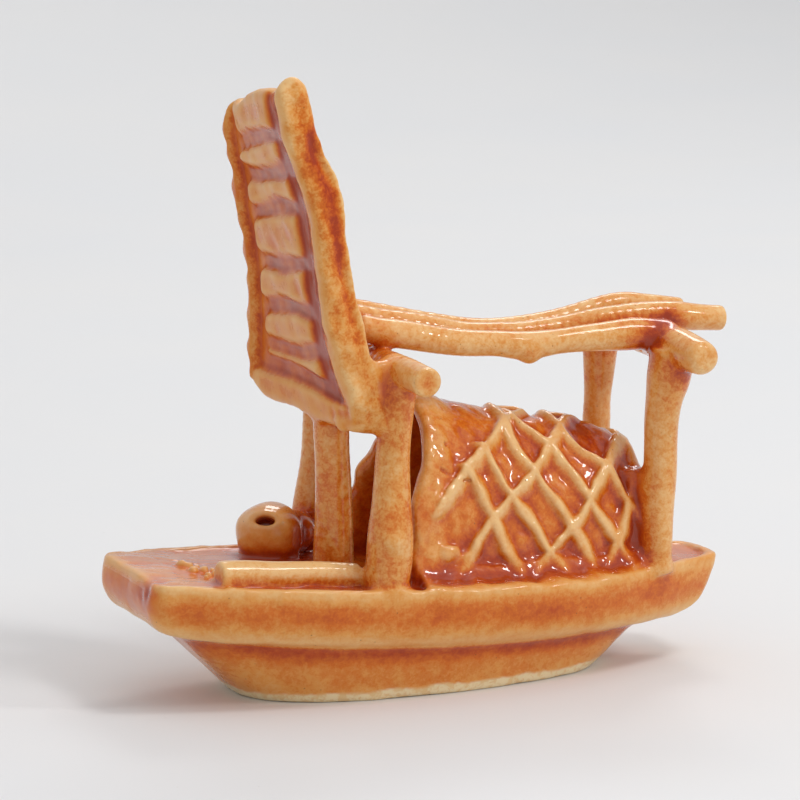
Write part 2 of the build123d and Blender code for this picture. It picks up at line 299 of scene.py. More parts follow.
def deck_space(x, y):
    """Signed distance to the space between the gunwale rims."""
    nicks = 0.16 * noise(x, 0, 0, 4.0, 12) + 0.12 * noise(x, y, 0, 1.0, 13)
    side = np.abs(y) - (gunwale_half(x) - RIM_WIDTH) + nicks
    return meet_all([side, SPACE_BOW - x, x - SPACE_STERN], 1.0)


# Cracks round the deck plate's bow edge and along a plank seam, as (x, y) paths.
deck_cracks = [
    [(-28.1, 6.9), (-28, 5.6), (-27.6, 4.9)],
    [(-28, 3.6), (-27.8, 2.7), (-27.4, 1.9), (-27.5, 1)],
    [(-28.2, -0.6), (-28.4, -2.2), (-28, -3.2), (-27.9, -4.2), (-28.4, -4.9)],
    [(-27.2, 4.3), (-26.4, 4.5), (-25.4, 4.1), (-24.2, 3.9), (-22.4, 3.6), (-21.2, 3.7), (-18.6, 3.4)],
]
# Crumbs of clay stuck to the deck, as (x, y, radius).
crumbs = [(-26.6, 1.6, 0.45), (-25.9, 0.9, 0.38), (-25.0, 1.4, 0.30), (-26.4, -1.6, 0.42),
          (-25.2, -1, 0.50), (-24.4, -2.6, 0.42), (-25.4, -3.4, 0.36), (-24, -0.4, 0.30),
          (-26, -4.4, 0.30)]
CHIP = np.array([-32.5, -6.2, 12.8])  # where the transom's upper near corner was rubbed
CHIP_REACH = 1.3


def crumb(spot, radius, seed):
    """Melts one crumb into a field."""
    def melted(out, part):
        x, y, z = part.axes
        ball = np.sqrt((x - spot[0]) ** 2 + ((y - spot[1]) * 0.7) ** 2 + (z - spot[2]) ** 2) - radius
        return melt(out, ball - 0.12 * noise(x, y, z, 0.7, seed), 0.25)

    return melted


def near_chip(x, y, z):
    """1 at the middle of the chip, falling to 0 round it."""
    apart = (x - CHIP[0]) ** 2 + ((y - CHIP[1]) * 0.55) ** 2 + (z - CHIP[2]) ** 2
    return np.exp(-apart / CHIP_REACH ** 2)


def chipped(out, part):
    x, y, z = part.axes
    return out + near_chip(x, y, z) * (0.14 * noise(x, y, z, 0.8, 71) + 0.10)


def upper_tier(x, y, z):
    """From the ledge up to the gunwale."""
    down = np.clip((sheer(x) - z) / (sheer(x) - ledge(x)), -0.3, 1.3)
    side = (np.abs(y) - (gunwale_half(x) - FLARE * down + SIDE_SWELL * down * (1 - down))) * 0.96
    bow = (bow_profile(z) - x - 0.04 * np.abs(y)) * 0.95
    stern = (x - stern_profile(z)) * 0.9
    top = z - sheer(x) + 0.10 * noise(x, y, 0, 3.5, 3) + 0.05 * noise(x, y, 0, 0.9, 4)
    body = meet(meet(side, bow, 2.0), stern, 0.9)
    return meet(meet(body, ledge(x) - z, 1.6), top, 0.4)


def lower_tier(x, y, z):
    """From the flat foot up into the upper tier, widening on the way."""
    bow_end, stern_end = FOOT_BOW - z, FOOT_STERN + 1.1 * z
    share = np.clip((x - bow_end) / (stern_end - bow_end), 0, 1)
    rise = np.clip(z / TIER_HEIGHT, -0.1, 1.1)
    half = foot_half(share) * (1 - rise) + ledge_half(share) * rise + rise * (0.66 - rise)
    ends = meet((bow_end - x) * 0.7, (x - stern_end) * 0.68, 0.5)
    body = meet((np.abs(y) - half) * 0.93, ends, 3.0)
    return meet(meet(body, z - ledge(x) - 1.0, 0.5), -z, 0.35)


def hull_field(grid):
    x, y, z = grid.axes
    hull = melt(upper_tier(x, y, z), lower_tier(x, y, z), 1.3)
    floor = deck_height(x) + 0.04 * noise(x, y, 0, 2.6, 5)
    hull = meet(hull, -meet(deck_space(x, y), floor - z, 0.4), 0.3)
    paths = [[(px, py, deck_height(px) + 0.05) for px, py in crack] for crack in deck_cracks]
    cut_cracks(hull, grid, paths, 0.12, 40)
    for i, (cx, cy, radius) in enumerate(crumbs):
        spot = np.array([cx, cy, deck_height(cx) + 0.1])
        grid.change(hull, spot - 1.2, spot + 1.2, crumb(spot, radius, 60 + i))
    grid.change(hull, CHIP - 4.0, CHIP + 4.0, chipped)
    return hull - 0.06 * noise(x, y, z, 3.0, 7) - 0.02 * noise(x, y, z, 1.1, 8)


def lower_region(x, y, z):
    return z - ledge(x) - 0.15


def deck_region(x, y, z):
    return meet(deck_space(x, y), deck_height(x) - DECK_THICK - z, 0.2)


def hull_tint(x, y, z):
    """Extra glaze depth beyond the hull's own curvature: tier bands, under the ledge partly painted shade.
    """
    patch = noise(x, y * 0.4, z * 0.3, 8.0, 15)
    fleck = noise(x, y, z, 2.6, 16)
    down = (sheer(x) - z) / (sheer(x) - ledge(x))
    wall = 0.22 * bell(down - 0.44, 0.25) * np.clip(0.90 + 0.42 * patch, 0.2, 1.3)
    wall = wall - 0.15 * bell(down - 0.97, 0.17) - 0.05 * bell(down, 0.12)
    below = (ledge(x) - z) / ledge(x)
    # Under the ledge: partly glaze pooled there, partly painted shade where the upper tier overhangs.
    tier = 0.24 * fall(below, 0.10, 0.50) * (0.9 + 0.2 * patch) + 0.03
    share = ramp(z, ledge(x) - 0.4, ledge(x))
    tint = wall * share + tier * (1 - share)
    inside = fall(deck_space(x, y), -0.9, 0.2)
    on_top = ramp(z, sheer(x) - 0.9, sheer(x) - 0.5)
    deck = 0.08 + 0.05 * patch + 0.08 * ramp(x, -22.0, -14.0)
    rim = 0.20 * np.maximum(ramp(y, -2.0, 4.0), ramp(x, 24.0, 28.0)) - 0.06
    tint = tint * (1 - on_top) + on_top * (deck * inside + rim * (1 - inside))
    transom = 0.09 * fall(x, -32.4, -31.2) * (1 - on_top) * ramp(y, -8.0, -5.0)
    return tint + transom + 0.40 * near_chip(x, y, z) + 0.025 * fleck


# ---- sail

SAIL_NEAR, SAIL_FAR = -11.15, 11.4
FLOOR_NEAR, FLOOR_FAR = -7.0, 8.0  # Y where the two floor tables hold
BORDER_NEAR, BORDER_FAR = -7.5, 8.7  # Y where the side borders begin
SLAT_RISE = 0.62
STREAK_Z = 52.0  # where the glaze streak on the near edge is broadest
# X by Z: the sail's front floor along its near and far line, and its back along the near edge.
near_floor = table([(26, -11.7), (31.9, -13.05), (36.1, -14.2), (40, -14.95), (45.2, -15.65),
                    (50.8, -16.5), (54.9, -17.75), (58.2, -18.9), (61.4, -19.6), (66, -20.6)])
far_floor = table([(26, -14.2), (30, -14.7), (34.6, -14.75), (38.6, -14.85), (43.6, -15.25),
                   (48.3, -16.1), (52.5, -16.75), (55.6, -17.5), (59.4, -18), (66, -19.4)])
near_back = table([(26, -8.2), (28.7, -8.6), (31.5, -9.4), (34.6, -10.3), (38, -11.1), (43, -12.1),
                   (47.5, -13), (50.5, -13.4), (54, -14), (56.3, -15.2), (59, -16), (61, -16.5),
                   (63, -16.9), (66, -17.7)])
# Z of its lower and upper edge, by Y.
sail_bottom = table([(-12, 28.4), (-10.5, 28.1), (-8.5, 28), (-5, 28.1), (-1, 28.5), (3, 29),
                     (7, 28.9), (9.5, 29.8), (11, 31.2), (12.5, 33.5)])
sail_top = table([(-12, 63.4), (-11, 64), (-9.9, 64.4), (-8.6, 63.6), (-7, 62.9), (-2, 62.4),
                  (3, 61.2), (6, 60), (8, 60.1), (9.6, 59.8), (10.6, 58.2), (12.5, 56.2)])
# Grooves between the battens: height at the near floor line and at the far one.
groove_near = [32.2, 36.1, 40.0, 45.2, 50.8, 54.9, 58.2]
groove_far = [32.9, 34.7, 38.6, 43.6, 48.3, 52.5, 55.6]


def sail_floor(y, z):
    share = (FLOOR_FAR - y) / (FLOOR_FAR - FLOOR_NEAR)
    return far_floor(z) + (near_floor(z) - far_floor(z)) * share


def groove_height(i, y):
    share = (FLOOR_FAR - y) / (FLOOR_FAR - FLOOR_NEAR)
    sag = 0.35 * np.sin(np.clip(share, 0, 1) * math.pi) * (-1) ** i
    return groove_far[i] + (groove_near[i] - groove_far[i]) * share + sag


def sail_pattern(y, z):
    """Shares of slat, near border, far border and bottom border at a point of the sail's front."""
    wander = 0.20 * noise(0, y, z, 3.6, 21)
    reach = FAR_AWAY
    for i in range(len(groove_near)):
        reach = np.minimum(reach, np.abs(z - groove_height(i, y) + wander))
    puff = ramp(reach, 0.30, 1.45)
    above = ramp(z - groove_height(0, y), 0.0, 0.5)
    scallop = 0.9 * ramp(reach, 0.2, 2.0)
    slat = puff * above * ramp(y + wander, -6.4, -5.0) * fall(y + wander - scallop, 6.3, 7.3)
    near = ramp(-y + 0.4 * wander, 7.5, 10.0)
    far = ramp(y + wander, 9.2, 10.3)
    bottom = ramp(groove_height(0, y) - z, 0.6, 1.7)
    return slat, near, far, bottom


def sail_field(grid):
    x, y, z = grid.axes
    slat, near, far, bottom = sail_pattern(y, z)
    floor = sail_floor(y, z)
    raised = largest(SLAT_RISE * slat, 0.50 * near, 0.95 * far, 0.7 * bottom)
    raised = raised + slat * (0.16 * noise(0, y, z, 2.0, 28)) + 0.05 * noise(0, y, z, 2.4, 22)
    nearness = np.clip((4.0 - y) / 15.0, 0, 1) ** 1.5
    back = (floor + 2.3) * (1 - nearness) + near_back(z) * nearness
    back = back + 0.15 * noise(0, y, z, 4.0, 23)
    slab = meet((floor - raised - x) * 0.95, (x - back) * 0.95, 0.6)

    middle_x = back - 1.05
    dish = 0.50 * bell(x - middle_x, 0.75) * ramp(z, 33, 40) * fall(z, 57.5, 60)
    dish = dish * (0.8 + 0.4 * np.sin(z / 2.1))
    ragged = 0.16 * noise(x, 0, z, 2.6, 24) + 0.05 * noise(x, y, z, 1.0, 29)
    near_edge = SAIL_NEAR - y + dish + ragged
    far_edge = y - SAIL_FAR + ragged * 2.0 - 0.35 * np.sin(z * 1.9)
    peak = 0.34 * (x + 18.6) ** 2 * ramp(-y, 7.6, 9.4)
    top = z - sail_top(y) + np.minimum(peak, 3.0) + ragged * 0.6
    up_and_down = meet((sail_bottom(y) - z + ragged) * 0.95, top * 0.85, 0.5)
    slab = meet(slab, meet(meet(near_edge, far_edge, 0.5), up_and_down, 1.4), 1.1)

    corner = fall(z, 29.5, 33.0) * ramp(-y, 5.0, 8.0)
    lumps = corner * (0.32 * noise(x, y, z, 1.8, 26) + 0.12 * noise(x, y, z, 0.8, 46))
    rough_edge = ramp(-y, 7.5, 10.0)
    lumps = lumps + rough_edge * (0.06 * noise(x, y, z, 1.5, 38) + 0.04 * noise(x, y, z, 0.7, 39, 7))
    return slab - lumps - 0.04 * noise(x, y, z, 1.3, 25)


def sail_front(x, y, z):
    """Signed distance in front of the backing sheet."""
    return x - (sail_floor(y, z) - 0.22)


def band_region(low, high):
    """The part in front of the backing and between the side borders, from one height to another."""
    def region(x, y, z):
        return largest(sail_front(x, y, z), BORDER_NEAR - y, y - BORDER_FAR, low(y) - z, z - high(y))

    return region


def groove_line(i):
    return lambda y: groove_height(i, y)


def top_line(y):
    return sail_top(y) - 1.6


def sail_tint(x, y, z):
    """Extra depth of glaze: streaks down the near edge, and the grooves on the front."""
    slat, near, far, bottom = sail_pattern(y, z)
    field = 1 - largest(slat, near, far * 0.6, bottom)
    patch = noise(x, y, z * 0.6, 5.0, 27)
    mottle = noise(x, y, z, 1.6, 30)
    on_side = fall(y, -11.0, -10.3)
    on_front = fall(x - (sail_floor(y, z) - 0.9), 0.9, 1.5)
    to_back = near_back(z) - x
    width = 0.55 + 0.65 * bell(z - STREAK_Z, 7.0)
    off = to_back - 0.95 - 0.55 * bell(z - STREAK_Z, 6.0)
    streak = bell(off, width) * ramp(z, 30, 40) * fall(z, 59.0, 61.5)
    streak = streak * (0.45 + 0.55 * ramp(z, 38, 48)) + 0.45 * bell(to_back - 1.2, 0.7) * bell(z - 62.2, 1.6)
    rear = fall(to_back, 0.05, 0.45)
    side = on_side * (0.44 * streak + 0.16 + 0.10 * patch + 0.08 * mottle) * (1 - rear) - 0.04 * rear
    gutter = ramp(-y, 4.6, 5.8) * (1 - near) * (1 - slat) * (1 - bottom)
    front = 0.12 * field + 0.34 * gutter + 0.22 * far + 0.09 + 0.03 * patch + 0.05 * mottle
    return on_front * (1 - on_side) * front + side


# ---- canopy

SHEET = 1.6  # thickness of the bent sheet
CANOPY_BASE, CANOPY_FOOT, CANOPY_STERN = 10.2, 9.6, 22.6
# Half width and ridge height of its arch along X, and X of its bow edge by Z.
canopy_half = table([(-8, 10), (-3.6, 9.8), (6, 9), (14, 7.9), (22, 6.3), (25, 5.7)])
canopy_ridge = table([(-8, 31), (-2, 30.1), (3, 28.9), (8, 27.5), (14, 26.4), (19, 25.3),
                      (22.3, 23.3), (25, 21)])
canopy_bow_edge = table([(10, -5.9), (14.7, -5.6), (17, -5.4), (19.7, -5), (21.5, -4.3), (23.6, -3.4),
                         (26.4, -2.7), (29.1, -2.7), (32, -2.4)])
SHEAR = 0.40  # strips lean towards the stern where the wall bends over
STRIP_DATUM = 8.1  # arc length up the wall where the strips' heights are counted from
MEAN_HALF, MEAN_RISE = 8.3, 16.6  # of the arch, for its arc length by angle
RISING_HALF, FALLING_HALF = 0.54, 0.49  # half widths of the coils laid either way
mean_angle = np.linspace(0, math.pi, 200)
arc_steps = np.hypot(MEAN_HALF * np.diff(np.cos(mean_angle)), MEAN_RISE * np.diff(np.sin(mean_angle)))
mean_arc = np.concatenate([[0], np.cumsum(arc_steps)])
# Each coil of the lattice as it was laid by hand: (height over the datum, station along the boat).
rising_coils = [
    [(-1.5, -3.4), (0.6, -1.4), (2.2, 0.1), (4.2, 1.5), (6.5, 3.4), (9.5, 5.2), (12.2, 7)],
    [(-8, -1.6), (-3.2, 1.8), (0.6, 5.5), (2.7, 7.4), (6.2, 9.7), (11.1, 11.8), (12.2, 12.4)],
    [(-8, 7.2), (-4.1, 10.5), (-1.8, 12.8), (1.8, 15.1), (6.3, 17), (12.2, 19)],
    [(-8, 15.9), (-5.6, 16.9), (-3.3, 17.9), (0.9, 19.1), (4, 20)],
]
falling_coils = [
    [(-8, 7.6), (-5.6, 6), (-4.2, 4.9), (-2.5, 4.1), (-1, 3.4), (0.4, 2.4), (2.4, 1.2), (3.6, 0.2)],
    [(-8, 12.6), (-4.4, 9.8), (-2.3, 8.2), (0.4, 6.1), (2.1, 4.7), (5.1, 2.5), (6, 1.7)],
    [(-8, 15.9), (-4, 13.4), (-1, 11.6), (1.1, 10), (4.4, 7.1), (6.4, 5.6), (9.4, 4.6), (12.2, 3.2)],
    [(-8, 20), (-4.3, 17.6), (-0.5, 15), (3, 12.8), (4.9, 11.2), (7.1, 9), (9.4, 6.3), (11.5, 4.4)],
    [(-3, 20.9), (0.8, 18.7), (3.1, 17.2), (5, 15.4), (6.6, 13.1), (8, 11.7), (12.2, 9.3)],
]
# Drying cracks in the bow end's wall, as (x, y, z) paths on it.
canopy_cracks = [
    [(-1.6, -7.3, 23.1), (-0.7, -7.4, 22.6), (0, -7.5, 22.1), (1.1, -7.5, 21.8), (1.8, -7.4, 21.8)],
    [(-2, -6.2, 25.4), (-1.2, -6.2, 25.1), (-0.5, -5.9, 25.5)],
    [(-1.2, -9.2, 15.6), (-0.6, -9.1, 16.1), (0.2, -9.1, 16.1), (1, -9.1, 15.7)],
]
# A scrap of clay pressed on the near wall: its centre and half sizes.
FLAP, FLAP_HALF = (-1.5, -9.35, 14.6), (1.3, 0.55, 1.1)


def coil_share(coil, station, height, half_width):
    """1 on a coil of the lattice, 0 off it."""
    line = np.array(coil)
    low, high = line[:, 0].min(), line[:, 0].max()
    across = np.abs(station - table(coil)(height)) * 0.78
    present = ramp(height, low - 0.6, low + 0.5) * fall(height, high - 0.5, high + 0.6)
    return fall(across, half_width - 0.45, half_width + 0.50) * present


def laid(coils, station, height, half_width):
    """Share of all the coils that were laid one way."""
    return functools.reduce(np.maximum, (coil_share(c, station, height, half_width) for c in coils))


def canopy_pattern(x, y, z):
    """Distance outside the bare sheet, share of coil, share of end band, gap from the bow edge."""
    half, rise = canopy_half(x), canopy_ridge(x) - CANOPY_BASE
    lift = np.maximum(z - CANOPY_BASE, 0)
    q = np.sqrt((y / half) ** 2 + (lift / rise) ** 2) + 1e-4
    steep = np.sqrt((y / half ** 2) ** 2 + (lift / rise ** 2) ** 2) + 1e-4
    outside = (q - 1) * q / steep
    angle = np.arctan2(lift / rise, -y / half)
    arc = np.interp(angle, mean_angle, mean_arc).astype(np.float32)
    height = np.minimum(arc, mean_arc[-1] - arc) - STRIP_DATUM
    station = x - SHEAR * (9.3 - np.abs(y)) + 0.22 * noise(x, y, z, 3.0, 31)
    plump = 0.13 * noise(x, y, z, 2.4, 32) + 0.08 * noise(x, y, z, 1.0, 42)
    rising = laid(rising_coils, station, height, RISING_HALF + plump)
    falling = laid(falling_coils, station, height, FALLING_HALF + plump)
    coils = np.maximum(rising, falling) + 0.16 * np.minimum(rising, falling)
    bow_gap, stern_gap = x - canopy_bow_edge(z), CANOPY_STERN - x
    wavy = 0.5 * noise(x, y, z, 3.5, 35)
    band = np.maximum(fall(bow_gap + wavy, 1.6, 4.4), fall(stern_gap + 0.3 * wavy, 0.9, 1.8))
    return outside, coils, band, bow_gap


def canopy_field(grid):
    x, y, z = grid.axes
    outside, coils, band, bow_gap = canopy_pattern(x, y, z)
    dents = 0.11 * noise(x, y, z, 2.2, 37) + 0.05 * noise(x, y, z, 1.0, 40)
    relief = np.maximum(0.74 * coils, 0.55 * band) - 0.34 + dents
    thick = meet(outside - relief, -(outside + SHEET), 0.5)
    ragged = 0.24 * noise(x, y, z, 1.9, 33)
    ends = meet(-bow_gap + ragged, x - CANOPY_STERN + 0.6 * ragged, 0.5)
    shell = meet(thick, ends, 0.9)
    flap = np.sqrt(sum(((v - c) / h) ** 2 for v, c, h in zip(grid.axes, FLAP, FLAP_HALF)))
    shell = melt(shell, (flap - 1) * 0.55 + 0.10 * noise(x, y, z, 0.9, 41), 0.3)
    cut_cracks(shell, grid, canopy_cracks, 0.13, 45)
    shell = meet(shell, CANOPY_FOOT - z, 0.2)
    return shell - 0.04 * noise(x, y, z, 1.2, 34) - 0.02 * noise(x, y, z, 0.6, 43, 7)


def lattice_region(x, y, z):
    return 0.02 - canopy_pattern(x, y, z)[0]


def canopy_tint(x, y, z):
    """Extra depth of glaze: in the cells, along the end bands, low down and inside."""
    outside, coils, band, _ = canopy_pattern(x, y, z)
    within = fall(outside, -1.1, -0.5)
    foot = fall(z, 11.5, 15.0)
    patch = noise(x, y, z, 3.4, 36)
    on_coil = np.minimum(coils, 1)
    cell = (1 - on_coil) * (1 - band)
    side = cell * (0.25 + 0.09 * patch) + 0.20 * band * (patch + 0.35) - 0.09 * on_coil * (1 - 0.6 * band)
    side = side + foot * (0.22 - 0.12 * on_coil)
    return side * (1 - within) + 0.36 * within


# ---- jar

JAR_CENTRE, JAR_MOUTH_WAY = np.array([-14.8, 7.5, 15.1]), np.array([-0.39, -0.76, 0.45])
JAR_RADIUS, LUMP_RADIUS = 3.5, 2.1


def jar_field(grid):
    x, y, z = grid.axes
    cx, cy, cz = JAR_CENTRE
    sides = np.sqrt((x - cx) ** 2 + (y - cy) ** 2)
    drop = np.maximum(cz - z, 0) * 0.72 + np.maximum(z - cz, 0) * 1.28
    body = (np.sqrt(sides ** 2 + drop ** 2) - JAR_RADIUS) * 0.88
    body = meet(body, (cz - 4.0) - z, 0.6)
    lump = np.sqrt((x - cx - 3.2) ** 2 + (y - cy - 0.9) ** 2 + ((z - cz + 0.7) * 0.9) ** 2) - LUMP_RADIUS
    body = melt(body, lump, 0.6)
    way = JAR_MOUTH_WAY / np.linalg.norm(JAR_MOUTH_WAY)
    side = np.cross([0, 0, 1.0], way)
    side /= np.linalg.norm(side)
    right, up, out = (along(x, y, z, JAR_CENTRE, axis) for axis in (side, np.cross(way, side), way))
    mouth = np.sqrt((right + 0.15) ** 2 + (up / 0.55) ** 2)
    lip = 0.12 * bell(mouth - 1.7, 0.5) * ramp(out, 1.0, 2.0)
    hole = meet((mouth - 1) * 0.65, 0.9 - out, 0.4)
    return meet(body - lip, -hole, 0.3) - 0.10 * noise(x, y, z, 2.0, 51)


def jar_tint(x, y, z):
    return 0.02 + 0.30 * fall(z, 12.4, 14.2) + 0.34 * ramp(x - 0.5 * y, -16.8, -14.6)


# ---- glaze pools and webs

POOL_SINK = 0.8  # how far a pool reaches down into the deck


def boxed(field, low, high):
    return field, np.array(low, dtype=float), np.array(high, dtype=float)


def block(corners, low_z, high_z, swell, seed):
    """Upright block of glaze over a convex plan, its edges melted round."""
    centre = np.mean(corners, axis=0)
    edges = list(zip(corners, corners[1:] + corners[:1]))

    def field(grid):
        x, y, z = grid.axes
        sides = []
        for (x0, y0), (x1, y1) in edges:
            out = np.array([y1 - y0, x0 - x1]) / math.hypot(x1 - x0, y1 - y0)
            if out @ (np.array([x0, y0]) - centre) < 0:
                out = -out
            sides.append((x - x0) * out[0] + (y - y0) * out[1])
        body = meet_all(sides + [z - high_z, low_z - z], 0.8)
        return body - swell * noise(x, y, z, 1.5, seed)

    xs, ys = zip(*corners)
    low, high = (min(xs) - 0.4, min(ys) - 0.4, low_z - 0.3), (max(xs) + 0.4, max(ys) + 0.4, high_z + 0.4)
    return boxed(field, low, high)


def past_rim(x, y, seed):
    """Signed distance past the middle of the gunwale rim, nicked along its length."""
    nicks = 0.24 * noise(x, 0, 0, 2.6, seed) + 0.14 * noise(x, y, 0, 0.9, seed + 20)
    return np.abs(y) - (gunwale_half(x) - RIM_WIDTH + 0.42) + nicks


def pool(over_level, walls, x, z):
    """Glaze that fills the deck up to a level, between walls."""
    return meet_all([over_level, meet_all(walls, 0.5), deck_height(x) - POOL_SINK - z], 0.4)


def canopy_pool_field(grid):
    """Glaze that ran down the canopy's near wall and set in the gutter behind the rim."""
    x, y, z = grid.axes
    outside = canopy_pattern(x, y, z)[0]
    climb = 1.7 * np.exp(-np.maximum(outside - 0.2, 0) / 0.8)
    level = deck_height(x) + 0.30 + climb + 0.34 * noise(x, y, 0, 2.0, 91) + 0.10 * noise(x, y, 0, 0.9, 97)
    walls = [-5.0 - x, x - 23.2, past_rim(x, y, 92), -0.9 - outside, y + 4.0]
    return pool((z - level) * 0.75, walls, x, z)


def roll_pool_field(grid):
    """Glaze in the gutter between the deck log and the rim."""
    x, y, z = grid.axes
    level = deck_height(x) + 0.16 + 0.5 * ramp(y, -9.6, -8.6) + 0.14 * noise(x, y, 0, 2.2, 93)
    return pool(z - level, [-25.6 - x, x + 11.0, past_rim(x, y, 94), y + 7.6], x, z)


# ---- coils

# Piece, CAD node, added depth of glaze, how it is rolled, and its sections (x, y, z, radius).
rolled_coils = [
    ("bow_beam", "bow_crossbeam", 0.11, {"edge": 0.4},
     [(-6.7, -16.3, 33.9, 1.5), (-6.9, -12, 34.15, 1.5), (-7.2, -5, 34.2, 1.45),
      (-7.5, 3, 34.1, 1.42), (-7.7, 10, 34.4, 1.45), (-7.9, 16.3, 34.4, 1.4)]),
    ("stern_beam", "stern_crossbeam", 0.09, {"edge": 1.0, "rough": 0.10},
     [(25.5, -13, 33.6, 1.65), (25.1, -10, 33.9, 1.9), (24.3, -5, 34.3, 1.9),
      (23.6, 3, 34.3, 1.55), (22.7, 11.6, 34.2, 1.55)]),
    ("near_bow_leg", "near_bow_post", 0.17, {"rough": 0.11, "knots": [(-9.1, -12.5, 17.2, 0.95)]},
     [(-8.9, -10.6, 11.2, 2.3), (-8.9, -10.7, 12.8, 2.25), (-8.8, -10.9, 15, 2.3),
      (-8.7, -11, 17.5, 2.25), (-8.4, -10.7, 21, 1.9), (-8.1, -10.4, 26, 1.7),
      (-7.6, -10.1, 30.5, 1.75), (-7.2, -9.9, 33.8, 1.9)]),
    ("far_bow_leg", "far_bow_post", 0.15, {"rough": 0.1},
     [(-9.3, 10.7, 11.1, 2.25), (-9.2, 10.8, 12.6, 2.1), (-8.9, 10.9, 16, 1.85),
      (-8.3, 10.7, 22, 1.6), (-8, 10.5, 28, 1.6), (-7.7, 10.4, 34, 1.75)]),
    ("mast", "mast_post", 0.21, {"rough": 0.1},
     [(-11.1, -1.5, 9.4, 2.4), (-11.1, -1.5, 11.6, 2.15), (-11.1, -1.5, 17, 1.95),
      (-11.2, -1.5, 24, 1.8), (-11.3, -1.5, 30.5, 1.8)]),
    ("near_stern_leg", "near_stern_post", 0.11, {"rough": 0.09},
     [(23.1, -6.4, 10.4, 1.7), (23.1, -6.6, 12, 1.4), (23.15, -6.7, 15, 1.5),
      (23.2, -6.7, 20, 1.72), (23.35, -6.8, 25, 1.74), (23.6, -7, 28.6, 1.85),
      (24, -7.2, 31.2, 2.25), (24.4, -7.4, 33.8, 2.3)]),
    ("far_stern_leg", "far_stern_post", 0.17, {"rough": 0.1},
     [(22.1, 6.5, 10.2, 1.6), (22.1, 6.8, 12, 1.45), (22.2, 7.2, 22, 1.42),
      (22.5, 7.4, 28, 1.5), (22.8, 7.6, 31.2, 1.8), (23.1, 7.8, 34, 2.3)]),
    ("near_pole", "near_rail", 0.12, {"knots": [(9.2, -5.0, 33.9, 0.9)]},
     [(-9.4, -4.2, 37.9, 1.3), (-7, -4.35, 37.2, 1.4), (-4, -4.5, 36.7, 1.4), (1, -4.6, 35.7, 1.35),
      (5.5, -4.6, 35.3, 1.28), (9, -4.65, 34.8, 1.45), (12.5, -4.6, 35, 1.3), (17, -4.7, 35.2, 1.4),
      (21, -4.9, 35.3, 1.65), (25, -5.3, 35.1, 1.5)]),
    ("middle_pole", "middle_rail", 0.11, {"edge": 0.35},
     [(-10.2, -0.8, 38.7, 1.25), (-8.9, -0.8, 38.4, 1.3), (-1.2, -0.8, 36.9, 1.25), (3, -0.8, 35.9, 1.25),
      (7.8, -0.8, 35.5, 1.2), (13.8, -1, 35.6, 1.25), (19.4, -1.6, 36.4, 1.35),
      (25, -2.2, 36.7, 1.4), (29, -2.35, 36.2, 1.35), (32.3, -2.4, 35.9, 1.3)]),
    ("far_pole", "far_rail", 0.10, {},
     [(-9.8, 3.4, 38.9, 1.15), (-8.6, 3.4, 38.7, 1.2), (1.7, 3.5, 36.2, 1.2), (8, 3.5, 35.2, 1.2),
      (15.2, 3.5, 35.6, 1.2), (22.3, 3.4, 37, 1.2), (26, 3.2, 36.7, 1.25), (30.1, 3, 36.1, 1.2)]),
    ("deck_roll", "deck_log", -0.14, {"edge": 0.35},
     [(-26, -8, 14.1, 1.5), (-23, -8.05, 14, 1.5), (-20, -8.2, 13.75, 1.38),
      (-16, -8.4, 13.6, 1.3), (-11.2, -8.7, 13.2, 1.15)]),
]
FIRST_COIL_SEED = 101

# Where the glaze ran together and set thick, or wore thin: (x, y, z, reach, added depth).
glaze_runs = [
    (24.2, -5.6, 36.2, 1.9, 0.46), (22.6, -6, 35.2, 2, 0.42), (25.6, -4, 36.3, 1.5, 0.36),
    (20.6, -5.8, 34.3, 1.7, 0.30), (24.6, -9, 31.6, 1.7, 0.34), (22.2, -7.4, 32.4, 1.3, 0.14),
    (-7.2, -8, 35.4, 1.4, 0.22), (-6, -10.8, 31, 1.6, 0.16), (-6.7, -16.6, 33.9, 1.2, 0.14),
    (-6.6, -10.6, 24, 1.5, 0.18), (-6.8, -12, 19.5, 1.6, 0.22), (-9.6, -13, 19.8, 1.2, 0.10),
    (-8.8, -13.2, 16.6, 1, -0.14), (-7, -12.2, 13.2, 1.2, 0.16), (-8, -5.8, 37.4, 1.6, 0.10),
    (17.6, -3, 24.6, 2.6, 0.36), (15.4, -1.6, 25.6, 1.8, 0.26), (21, -5.2, 19.6, 1.5, 0.22),
    (21.8, -6, 15, 1.8, 0.25), (-3.2, -8.6, 22.4, 1.8, 0.14), (2.2, -6.4, 26.4, 2.2, 0.16),
    (-12.2, 7, 14, 2, 0.22), (-10, 9, 12.6, 1.8, 0.22), (-12, -2.6, 12.6, 1.5, 0.18),
    (8.9, -6, 33.8, 1.2, 0.14), (-26.3, -8.6, 14, 1.2, 0.24),
]


# ---- the shapes and their pieces

HULL_VOXEL, SAIL_VOXEL, CANOPY_VOXEL, SMALL_VOXEL = 0.23, 0.17, 0.195, 0.15


class Shape:
    """A melted form: its field and box, and the pieces {name: (region or None, CAD nodes)} in it."""

    def __init__(self, form, voxel, depth, finish, slot, pieces, tint=None):
        self.field, self.low, self.high = form
        self.voxel, self.depth, self.finish, self.slot = voxel, depth, finish, slot
        self.pieces, self.tint = pieces, tint

    def glaze(self, x, y, z):
        """Depth of glaze at points, beyond what the surface's curvature gives."""
        return self.depth + (self.tint(x, y, z) if self.tint else 0 * x)


